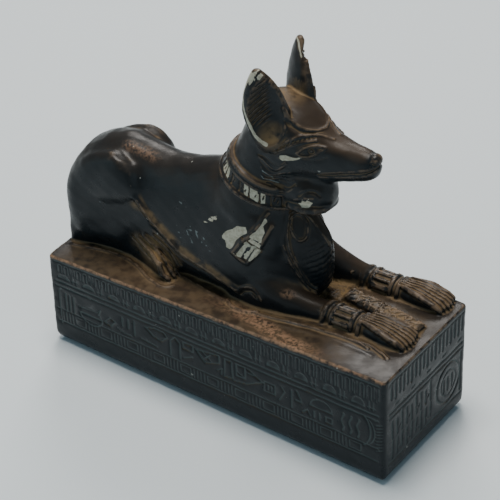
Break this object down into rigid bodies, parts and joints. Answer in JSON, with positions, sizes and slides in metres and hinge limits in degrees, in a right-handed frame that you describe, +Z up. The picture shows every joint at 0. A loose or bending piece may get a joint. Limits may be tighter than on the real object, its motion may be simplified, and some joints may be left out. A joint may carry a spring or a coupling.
{
  "type": "jackal figurine",
  "caption": "Cast resin souvenir: a jackal lying with raised head and ears on a rectangular plinth carved with rows of signs, black paint worn at the edges.",
  "frame": {"origin": "middle of the plinth's underside", "axes": "+X the way the jackal faces, +Y its left side, +Z up"},
  "size_m": [0.14, 0.0504, 0.1328],
  "materials": {
    "painted_resin": "semi-gloss black paint over cream resin, brown sheen on top surfaces, tan dust in recesses, worn to cream at edges"
  },
  "bodies": {
    "root": {"jackal_figurine": "painted_resin"}
  },
  "joints": []
}
